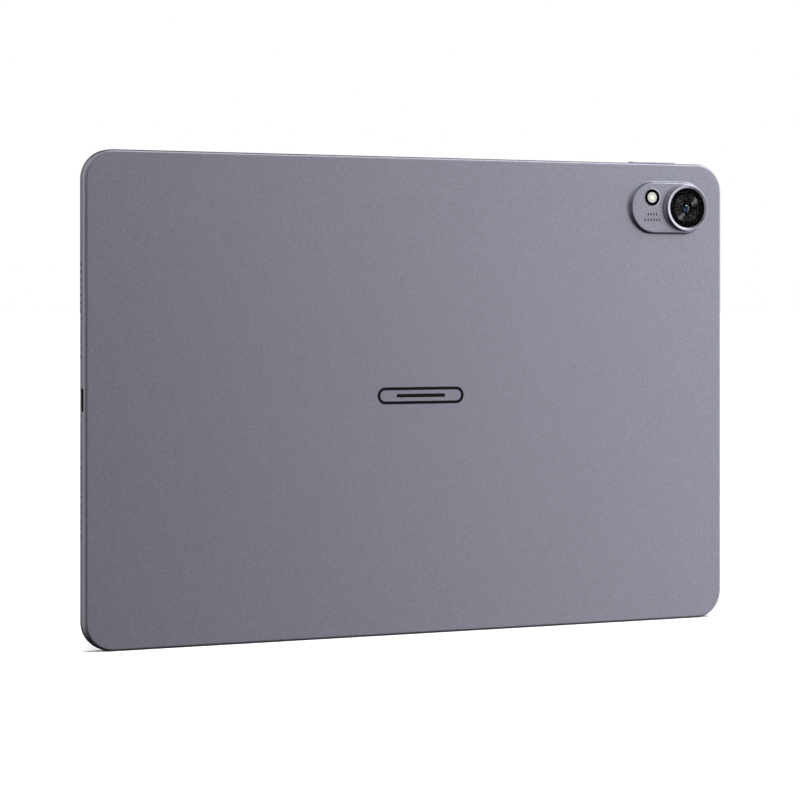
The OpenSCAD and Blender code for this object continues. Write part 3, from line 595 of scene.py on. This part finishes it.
def cut_out(piece, bm):
    """Cuts the closed shapes in a bmesh out of a piece, and applies the cut."""
    bmesh.ops.recalc_face_normals(bm, faces=bm.faces)
    mesh = bpy.data.meshes.new("cutter")
    bm.to_mesh(mesh)
    bm.free()
    cutter = bpy.data.objects.new("cutter", mesh)
    bpy.context.scene.collection.objects.link(cutter)
    modifier = piece.modifiers.new("cut", "BOOLEAN")
    modifier.operation = "DIFFERENCE"
    modifier.object = cutter
    modifier.solver = "EXACT"
    piece.modifiers.move(len(piece.modifiers) - 1, 0)
    apply_modifier(piece, modifier)
    bpy.data.objects.remove(cutter)
    bpy.data.meshes.remove(mesh)
    for polygon in piece.data.polygons:
        polygon.use_smooth = True
    piece.data.set_sharp_from_angle(angle=math.radians(25))


def apply_modifier(piece, modifier):
    """Bakes one modifier, the first in the stack, into the mesh."""
    others = [m for m in piece.modifiers if m != modifier]
    shown = [m.show_viewport for m in others]
    for m in others:
        m.show_viewport = False
    graph = bpy.context.evaluated_depsgraph_get()
    graph.update()
    mesh = bpy.data.meshes.new_from_object(piece.evaluated_get(graph))
    old = piece.data
    piece.data = mesh
    mesh.name = old.name
    piece.modifiers.remove(modifier)
    for m, was in zip(others, shown):
        m.show_viewport = was


# ---------------------------------------------------------------- camera island, lens and flash


def bar_places():
    """Middles of two short rows of upright bars below the flash, where a label would be."""
    for count, below, pitch in ((4, 2.6, 1.24), (6, 4.8, 1.3)):
        for i in range(count):
            yield FLASH.x + (i - (count - 1) / 2) * pitch * MM, LENS.z - below * MM


def make_island(metal, bright, ink):
    """The raised pill under the lens ring and the flash. It has a leaning side, a hollow fillet at its foot
    and a bright cut edge round its top."""
    bm = bmesh.new()
    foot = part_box("camera_island")[0].y
    edge = 0.22 * MM
    lean, fillet = 0.85 * MM, 0.6 * MM
    profile = leaning_side(lean, fillet, REAR_Y, ISLAND_Y, edge)
    profile.append((0, foot))
    half_x, half_z = ISLAND_SIZE.x / 2, ISLAND_SIZE.z / 2
    slab(bm, half_x, half_z, half_z, profile, ISLAND, steps=40)
    piece = finish_mesh("camera_plinth", bm, metal, sharp=math.radians(25))
    hole = size("flash_ring").x / 2
    cutters = bmesh.new()
    for middle, radius in ((LENS, STEM_R + 0.02 * MM), (FLASH, hole)):
        ends = (REAR_Y - 4 * MM, REAR_Y + 4 * MM)
        lathe(cutters, [(0, ends[0]), (radius, ends[0]), (radius, ends[1]), (0, ends[1])], middle, 96)
    cut_out(piece, cutters)
    lead = bmesh.new()
    chamfer = 0.32 * MM
    lathe(lead, [
        (0, ISLAND_Y - chamfer), (hole, ISLAND_Y - chamfer),
        (hole + chamfer, ISLAND_Y + 0.001 * MM), (0, ISLAND_Y + MM),
    ], FLASH, 96)
    cut_out(piece, lead)
    pockets, marks = bmesh.new(), bmesh.new()
    bar_x, bar_z, gap = 0.28 * MM, 0.565 * MM, 0.01 * MM
    floor_y = ISLAND_Y - 0.05 * MM
    pocket_x = bar_x + gap
    for middle in bar_places():
        prism(pockets, outline(pocket_x, bar_z + gap, pocket_x, 8), middle, floor_y, ISLAND_Y + MM)
        prism(marks, outline(bar_x, bar_z, bar_x, 8), middle, floor_y, ISLAND_Y - 0.015 * MM)
    cut_out(piece, pockets)
    piece.data.materials.append(bright)
    # only the rounded edge of the top is cut bright
    for polygon in piece.data.polygons:
        if polygon.center.y > ISLAND_Y - edge - 0.005 * MM and 0.12 < polygon.normal.y < 0.99:
            polygon.material_index = 1
    finish_mesh("camera_marks", marks, ink)
    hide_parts("camera_island")


def make_lens_ring(metal):
    """Bright turned ring: a fillet at its foot, a leaning wall, a round crest and a slope to the window."""
    bm = bmesh.new()
    outer = size("lens_ring").x / 2
    low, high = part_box("lens_ring")
    foot, top = ISLAND_Y, high.y
    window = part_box("lens_glass")[1].y
    bore = GLASS_R + 0.02 * MM
    lean, fillet, crest = 0.25 * MM, 0.25 * MM, 0.35 * MM
    wall = [(lean, top - crest), *hollow_fillet(fillet, foot)]
    profile = [(STEM_R, low.y), (STEM_R, foot)]
    profile += [(outer - inset, y) for inset, y in reversed(wall)]
    crown = [(outer - lean - inset, top - drop) for inset, drop in rounding(crest, crest, 12)]
    profile += list(reversed(crown))[1:]
    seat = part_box("lens_cone")[1].y
    inner = size("lens_cone").x / 2 + 0.02 * MM
    lip = bore - 0.24 * MM
    profile += [
        (outer - lean - crest - 0.1 * MM, top - 0.005 * MM), (lip + 0.06 * MM, window + 0.035 * MM),
        (lip, window + 0.02 * MM), (lip, window + 0.01 * MM), (bore, window + 0.01 * MM), (bore, seat),
        (inner, seat), (inner, low.y),
    ]
    lathe(bm, profile, LENS, 192, closed=True)
    piece = finish_mesh("lens_bezel", bm, metal, sharp=math.radians(25))
    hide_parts("lens_ring")
    return piece


def make_lens_window(glass, ink):
    """The flat window with a ground edge, and the black print behind it."""
    low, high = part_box("lens_glass")
    bm = bmesh.new()
    edge = [(inset, high.y - drop) for inset, drop in rounding(0.12 * MM, 0.12 * MM, 5)]
    side = [(GLASS_R - inset, y) for inset, y in edge]
    lathe(bm, [(0, high.y), *side, (GLASS_R, low.y), (0, low.y)], LENS, 160)
    piece = finish_mesh("lens_window", bm, glass)
    piece.visible_shadow = False
    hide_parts("lens_glass")
    bm = bmesh.new()
    mask_low, mask_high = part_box("lens_mask")
    outer = GLASS_R - 0.03 * MM
    mask = [(outer, mask_high.y), (FUNNEL_R, mask_high.y), (FUNNEL_R, mask_low.y), (outer, mask_low.y)]
    lathe(bm, mask, LENS, 160, closed=True)
    print_ring = finish_mesh("lens_print", bm, ink)
    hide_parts("lens_mask")


def make_funnel(metal):
    """Shallow spun funnel down to the lens, with a stepped dark eye round the opening."""
    low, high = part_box("lens_cone")
    eye = 2.5 * MM
    wall = size("lens_cone").x / 2
    top = high.y
    bm = bmesh.new()
    steps = 24
    drop, lip = 0.12 * MM, 0.03 * MM
    run = FUNNEL_R - eye - lip
    slope = [(FUNNEL_R - run * i / steps, top - drop * (i / steps) ** 1.3) for i in range(steps + 1)]
    profile = [(wall, top), *slope, (eye, top - drop - lip), (eye, low.y), (wall, low.y)]
    lathe(bm, profile, LENS, 160, closed=True)
    piece = finish_mesh("lens_funnel", bm, metal, sharp=math.radians(20))
    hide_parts("lens_cone")
    return piece


def make_barrel(black, film, deep):
    """The moving barrel. Its nose ends in a stepped slope round a domed coated element, with the hollow face
    of the next element behind. Gives back the domed element."""
    low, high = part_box("lens_barrel")
    front = high.y
    outer = size("lens_barrel").x / 2
    nose, shoulder, bore = 2.35 * MM, 2.85 * MM, 1.45 * MM
    shoulder_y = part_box("lens_cone")[0].y - 0.3 * MM
    profile = [(bore, front - 0.16 * MM)]
    for i in range(4):
        step = bore + (0.08 + 0.15 * i) * MM
        sunk = (0.14 - 0.035 * i) * MM
        profile += [(step, front - sunk), (step + 0.12 * MM, front - sunk + 0.01 * MM)]
    flange_y = low.y + 1.9 * MM
    profile += [
        (nose - 0.2 * MM, front - 0.01 * MM), (nose - 0.08 * MM, front),
        (nose - 0.02 * MM, front - 0.02 * MM), (nose, front - 0.08 * MM), (nose, shoulder_y),
        (shoulder - 0.05 * MM, shoulder_y), (shoulder, shoulder_y - 0.05 * MM), (shoulder, flange_y),
        (outer, flange_y), (outer, low.y), (bore, low.y),
    ]
    bm = bmesh.new()
    lathe(bm, profile, LENS, 128, closed=True)
    piece = finish_mesh("focus_tube", bm, black, "focus_barrel", math.radians(25))
    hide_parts("lens_barrel")
    crown = front - 0.05 * MM

    def cap(name, material, middle_y, sag, thick, reach=bore):
        """A lens element whose face drops by sag from its middle to its rim, or rises if sag is negative."""
        steps = 12
        face = [(reach * i / steps, middle_y - sag * (i / steps) ** 2) for i in range(steps + 1)]
        shape = bmesh.new()
        back = min(y for _, y in face) - thick
        lathe(shape, [*face, (reach, back), (0, back)], LENS, 96)
        return finish_mesh(name, shape, material, "focus_barrel", math.radians(40))

    element = cap("front_element", film, crown, 0.28 * MM, 0.1 * MM)
    element.visible_shadow = False
    inner = cap("inner_element", deep, crown - 0.9 * MM, -0.35 * MM, 0.3 * MM, bore - 0.01 * MM)
    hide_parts("front_lens")
    return element


def make_flash(black, milky, bright):
    """Black ring a hair below the island's top, inside a bright cut edge, and a milky stepped lens in it."""
    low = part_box("flash_ring")[0]
    outer, inner = size("flash_ring").x / 2, size("flash_lens").x / 2
    top = ISLAND_Y - 0.06 * MM
    bm = bmesh.new()
    profile = [
        (outer, low.y), (outer, top - 0.04 * MM), (outer - 0.04 * MM, top), (inner + 0.12 * MM, top),
        (inner + 0.02 * MM, top - 0.12 * MM), (inner + 0.02 * MM, low.y),
    ]
    lathe(bm, profile, FLASH, 128, closed=True)
    ring = finish_mesh("flash_bezel", bm, black)
    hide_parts("flash_ring")
    bm = bmesh.new()
    reach = 0.3 * MM
    rim_foot = ISLAND_Y - 0.2 * MM
    lathe(bm, [
        (outer + reach, rim_foot), (outer + reach, ISLAND_Y - 0.01 * MM),
        (outer + reach - 0.02 * MM, ISLAND_Y), (outer + 0.05 * MM, ISLAND_Y),
        (outer + 0.01 * MM, ISLAND_Y - 0.04 * MM), (outer, rim_foot),
    ], FLASH, 128, closed=True)
    finish_mesh("flash_rim", bm, bright)
    bm = bmesh.new()
    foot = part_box("flash_lens")[0].y
    crown = top - 0.05 * MM
    rises = 6
    profile = [(0, crown)]
    for i in range(1, rises + 1):
        radius = inner * i / (rises + 0.6)
        profile += [(radius - 0.05 * MM, crown - 0.03 * MM), (radius, crown + 0.02 * MM)]
    profile += [(inner - 0.02 * MM, crown - 0.04 * MM), (inner, crown - 0.1 * MM), (inner, foot), (0, foot)]
    lathe(bm, profile, FLASH, 128)
    lens = finish_mesh("flash_diffuser", bm, milky, sharp=math.radians(50))
    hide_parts("flash_lens")


# ---------------------------------------------------------------- screen side


def make_screen(glass):
    """The cover glass with its edges rounded over towards the plastic frame."""
    low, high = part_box("display_glass")
    half = (high - low) / 2
    bm = bmesh.new()
    profile = [(inset, low.y + drop) for inset, drop in rounding(0.4 * MM, 0.32 * MM, 8)]
    profile.append((0, high.y))
    radius = CORNER_R - (COVER_HIGH.x - high.x)
    slab(bm, half.x, half.z, radius, profile, centre("display_glass"), steps=24)
    piece = finish_mesh("screen_glass", bm, glass)
    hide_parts("display_glass")


# ---------------------------------------------------------------- charging socket


def make_contacts(gold):
    """Gold strips on both faces of the socket's tongue."""
    tip_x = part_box("usb_tongue")[1].x
    middle = centre("usb_tongue")
    pitch, width, length, thick = 0.5 * MM, 0.26 * MM, 3.2 * MM, 0.03 * MM
    half_tongue = 0.35 * MM
    bm = bmesh.new()
    for side in (-1, 1):
        for i in range(12):
            z = middle.z + (i - 5.5) * pitch
            corners = Matrix.Translation((
                tip_x - 0.35 * MM - length / 2, middle.y + side * (half_tongue + thick / 2), z
            )) @ Matrix.Diagonal((length, thick, width, 1))
            bmesh.ops.create_cube(bm, size=1, matrix=corners)
    bmesh.ops.bevel(bm, geom=bm.edges[:], offset=0.01 * MM, segments=1, affect="EDGES")
    finish_mesh("socket_contacts", bm, gold)


def stadium_band(bm, section, middle):
    """A band round a stadium-shaped opening that faces +X. Its closed cross section is given as
    (x, half height, half width) points."""
    loops = []
    for x, half_z, half_y in section:
        points = stadium_points(half_z, half_y, 12)
        loops.append(ring_of(bm, [(x, middle.y + y, middle.z + z) for z, y in points]))
    for one, other in zip(loops, loops[1:] + loops[:1]):
        bridge(bm, one, other)


def make_socket_rim(metal, ink):
    """A black gasket inside the socket's slot, and the slot's bright cut edge."""
    middle = centre("usb_shell")
    face = COVER_HIGH.x
    half_z, half_y = 4.3 * MM, 1.4 * MM
    wall, clearance = 0.06 * MM, 0.005 * MM
    inner, outer = (half_z - wall, half_y - wall), (half_z - clearance, half_y - clearance)
    back, front = face - 0.69 * MM, face - 0.26 * MM
    bm = bmesh.new()
    stadium_band(bm, [(back, *outer), (front, *outer), (front, *inner), (back, *inner)], middle)
    finish_mesh("socket_gasket", bm, ink)
    radius, points = 0.12 * MM, 10
    section = []
    for i in range(points):
        a = 2 * math.pi * i / points
        grow = radius + radius * math.cos(a)
        section.append((face - radius + radius * math.sin(a), half_z + grow, half_y + grow))
    bm = bmesh.new()
    stadium_band(bm, section, middle)
    finish_mesh("socket_rim", bm, metal, sharp=math.radians(60), weighted=False)


# ---------------------------------------------------------------- studio


def make_floor(paint):
    """A round pale floor that the camera never sees the end of."""
    bm = bmesh.new()
    points, reach = 96, 40
    angles = [2 * math.pi * i / points for i in range(points)]
    rim = ring_of(bm, [(reach * math.cos(a), reach * math.sin(a), 0) for a in angles])
    bm.faces.new(rim)
    mesh = bpy.data.meshes.new("floor")
    bm.to_mesh(mesh)
    bm.free()
    floor = bpy.data.objects.new("floor", mesh)
    mesh.materials.append(paint)
    bpy.context.scene.collection.objects.link(floor)
    # the object is lit by the studio, not by the floor
    floor.visible_glossy = False
    floor.visible_diffuse = False


def sun(name, source, strength, spread, glossy=True, only=None):
    """A lamp as wide as spread degrees, shining from source. With only, it lights that one piece."""
    data = bpy.data.lights.new(name, "SUN")
    data.energy = strength
    data.angle = math.radians(spread)
    lamp = bpy.data.objects.new(name, data)
    bpy.context.scene.collection.objects.link(lamp)
    lamp.rotation_mode = "QUATERNION"
    lamp.rotation_quaternion = (-Vector(source)).to_track_quat("-Z", "Y")
    lamp.visible_glossy = glossy
    if only:
        lit = bpy.data.collections.new(name + "_lights")
        lit.objects.link(only)
        lamp.light_linking.receiver_collection = lit


def make_world():
    """White where the camera looks past the object. Reflections see a soft studio instead: a wide bright
    wall on the -X side, whose edge the rear mirrors, a few glows, and a long lamp overhead. The wall and
    the glows are (direction, cosines where the glow starts and is full, brightness)."""
    wall = ((1.0, 0.0, 0.0), -0.455, -0.505, 1.34)
    glows = [
        ((0.66, -0.75, 0.1), 0.72, 0.98, 0.62),
        ((0.8, 0.6, 0.0), 0.7, 0.97, 0.22),
        ((0.31, -0.64, 0.70), 0.95, 0.985, 1.2),
    ]
    world = bpy.data.worlds.new("studio")
    bpy.context.scene.world = world
    world.use_nodes = True
    t = Tree(world.node_tree)
    direction = t.add("ShaderNodeTexCoord").outputs["Generated"]

    def glow(towards, start, end, bright, base=0.0):
        node = t.add("ShaderNodeVectorMath", operation="DOT_PRODUCT")
        t.link(direction, node.inputs[0])
        node.inputs[1].default_value = Vector(towards).normalized()
        return t.spread(node.outputs["Value"], base, bright, start, end)

    x, y, up = t.split(direction)
    # the wall fades towards the screen side
    level = t.maths("MULTIPLY", glow(*wall, base=0.055), t.spread(y, 0.3, 1.0, -0.6, -0.1))
    for panel in glows:
        level = t.maths("ADD", level, glow(*panel))
    # all of that is brighter towards the ceiling and darker towards the floor
    level = t.maths("MULTIPLY", level, t.spread(up, 0.6, 1.35, -0.6, 0.6))
    level = t.maths("MULTIPLY", level, t.spread(up, 0.25, 1.0, -0.75, -0.35))
    # the lamp runs along X, a little behind the tablet, and is brighter at its -X end
    lamp = t.spread(t.maths("ABSOLUTE", t.maths("SUBTRACT", y, 0.52)), 1.2, 0, 0.1, 0.26)
    lamp = t.maths("MULTIPLY", lamp, t.spread(up, 0, 1, 0.4, 0.6))
    lamp = t.maths("MULTIPLY", lamp, t.spread(x, 1.9, 1.0, -0.6, -0.15))
    level = t.maths("ADD", level, lamp)
    room = t.add("ShaderNodeBackground")
    t.link(t.grey(level), room.inputs["Color"])
    room.inputs["Strength"].default_value = 1.0
    backdrop = t.add("ShaderNodeBackground")
    backdrop.inputs["Color"].default_value = (1, 1, 1, 1)
    path = t.add("ShaderNodeLightPath")
    chooser = t.add("ShaderNodeMixShader")
    t.link(path.outputs["Is Camera Ray"], chooser.inputs[0])
    t.link(room.outputs[0], chooser.inputs[1])
    t.link(backdrop.outputs[0], chooser.inputs[2])
    output = t.add("ShaderNodeOutputWorld")
    t.link(chooser.outputs[0], output.inputs["Surface"])


def make_studio(ring, funnel, element):
    make_floor(floor_paint("floor_paint"))
    sun("overhead", (-0.15, 0.1, 1), 3.4, 50, glossy=False)
    sun("fill", (0.35, 0.85, 0.3), 1.6, 40, glossy=False)
    sun("glint", (-0.5, 0.825, 0.26), 7.0, 20, only=element)
    sun("ring_side", (0.1, 1.0, 0.0), 0.16, 40, only=ring)
    sun("funnel_streak", (-0.22, 0.92, 0.34), 3.5, 1, only=funnel)
    sun("funnel_glow", (-0.22, 0.92, 0.34), 3.0, 10, only=funnel)
    sun("funnel_cross", (-0.82, 0.47, 0.34), 2.5, 10, only=funnel)
    make_world()
    bpy.context.scene.view_settings.view_transform = "Standard"


# ---------------------------------------------------------------- materials of the carried-over nodes


def dress(names, material):
    for name in names:
        piece = NODES[name]
        if not piece.material_slots:
            piece.data.materials.append(material)
        for slot_of in piece.material_slots:
            slot_of.material = material


def soften(piece, angle=25):
    """Shades a carried-over piece smoothly across its roundings, and keeps flat faces and edges crisp."""
    mesh = piece.data
    if "custom_normal" in mesh.attributes:
        mesh.attributes.remove(mesh.attributes["custom_normal"])
    for polygon in mesh.polygons:
        polygon.use_smooth = True
    for edge in mesh.edges:
        edge.use_edge_sharp = False
    weld = piece.modifiers.new("weld", "WELD")
    weld.merge_threshold = 0.0005 * MM
    split = piece.modifiers.new("split", "EDGE_SPLIT")
    split.split_angle = math.radians(angle)
    split.use_edge_sharp = False
    normals = piece.modifiers.new("normals", "WEIGHTED_NORMAL")
    normals.weight = 100


def nodes_with(slot_name):
    return [s["node"] for s in RECORD["subparts"] if s["material_slot"] == slot_name]


def main():
    make_camera()
    cover = anodised("anodised_cover", (0.45, 0.45, 0.54), 0.42, grain=0.3)
    keys = anodised("anodised_keys", (0.46, 0.46, 0.55), 0.36)
    bright = polished("polished_ring", (0.52, 0.52, 0.6))
    cut = grained("cut_edge", (0.6, 0.6, 0.68), 0.22, metallic=1.0, scale=3000, depth=0.001)
    black = grained("black_plastic", (0.012, 0.012, 0.013), 0.45)
    ink = grained(
        "black_print", (0.0008, 0.0008, 0.0008), 0.45, scale=4000, depth=0.002, Specular_IOR_Level=0.03
    )
    grey_print = grained("grey_print", (0.03, 0.03, 0.032), 0.5, scale=4000, depth=0.002)
    inlay = grained("emblem_gloss", (0.2, 0.2, 0.19), 0.06, metallic=1.0, scale=700, depth=0.0005)
    looks = {
        "cover_metal": cover,
        "ring_metal": bright,
        "key_metal": keys,
        "emblem_gloss": inlay,
        "frame_plastic": grained("frame_plastic", (0.018, 0.018, 0.02), 0.4, scale=2200),
        "screen_glass": screen_glass("screen_black"),
        "lens_window": clear_glass("window_glass", 0.06),
        "lcd": grained("lcd_film", (0.02, 0.022, 0.03), 0.25, scale=6000, depth=0.001),
        "light_guide": grained("light_guide", (0.85, 0.86, 0.88), 0.3, scale=2500),
        "steel": grained(
            "rolled_steel", (0.55, 0.55, 0.56), 0.35, metallic=1.0, scale=1200, stretch=(0.1, 1, 1)
        ),
        "black_plastic": black,
        "cone_metal": funnel_metal("spun_funnel"),
        "optic_glass": coated_lens("coated_lens", (0.02, 0.06, 0.16)),
        "diffuser": diffuser("flash_milk"),
        "phosphor": phosphor("lamp_phosphor"),
        "circuit_board": circuit("solder_mask", (0.012, 0.09, 0.04)),
        "ribbon": ribbon("polyimide", (0.42, 0.17, 0.03)),
        "chip_black": grained("epoxy", (0.02, 0.02, 0.022), 0.6, scale=3000),
        "microphone_metal": grained("gold_plate", (0.85, 0.62, 0.25), 0.3, metallic=1.0, scale=3000),
        "cell_foil": grained("cell_foil", (0.045, 0.045, 0.05), 0.45, metallic=0.3, scale=260, depth=0.08),
        "tape_white": grained("adhesive_tape", (0.75, 0.75, 0.74), 0.7, scale=800),
        "graphite": grained(
            "graphite", (0.05, 0.05, 0.052), 0.5, metallic=0.4, scale=900, stretch=(1, 1, 0.15)
        ),
    }
    for slot_name, material in looks.items():
        dress(nodes_with(slot_name), material)
    dress([n for n in NODES if n.startswith("speaker_mesh")], woven_mesh("acoustic_cloth"))
    make_island(cover, cut, grey_print)
    ring = make_lens_ring(bright)
    make_lens_window(looks["lens_window"], ink)
    funnel = make_funnel(looks["cone_metal"])
    element = make_barrel(ink, lens_film("lens_film"), looks["optic_glass"])
    make_flash(ink, looks["diffuser"], cut)
    make_screen(looks["screen_glass"])
    make_contacts(looks["microphone_metal"])
    make_socket_rim(cut, ink)
    for name in ("rear_cover", "volume_key", "power_key"):
        soften(NODES[name])
    make_studio(ring, funnel, element)


main()
